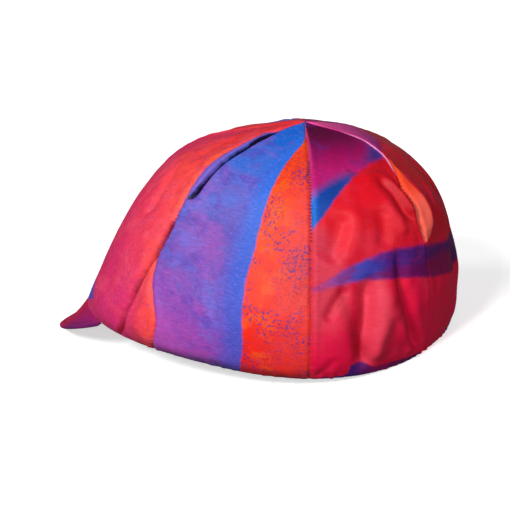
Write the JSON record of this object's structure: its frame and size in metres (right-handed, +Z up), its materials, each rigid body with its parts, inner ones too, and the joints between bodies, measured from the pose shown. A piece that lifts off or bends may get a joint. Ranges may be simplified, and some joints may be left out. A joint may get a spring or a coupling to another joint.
{
  "type": "cycling cap",
  "caption": "Soft cloth cap of gored panels meeting at a point, with a short drooping stiff peak and an elastic hem turned under round the head.",
  "frame": {"origin": "under the middle of the whole cap, on the surface it rests on", "axes": "+Z up, peak toward -Y, wearer's left toward +X"},
  "size_m": [0.2078, 0.274, 0.1405],
  "materials": {
    "gore_front_left": "soft, faintly satin stretch cloth",
    "gore_side_left": "soft, faintly satin stretch cloth",
    "gore_back_left": "soft, faintly satin stretch cloth",
    "gore_back_right": "soft, faintly satin stretch cloth",
    "gore_side_right": "soft, faintly satin stretch cloth",
    "gore_front_right": "soft, faintly satin stretch cloth",
    "peak": "soft, faintly satin stretch cloth",
    "hem_casing": "soft, faintly satin stretch cloth"
  },
  "bodies": {
    "root": {"gore_front_left": "gore_front_left", "gore_side_left": "gore_side_left", "gore_back_left": "gore_back_left", "gore_back_right": "gore_back_right", "gore_side_right": "gore_side_right", "gore_front_right": "gore_front_right", "peak": "peak", "hem_casing": "hem_casing"}
  },
  "joints": []
}
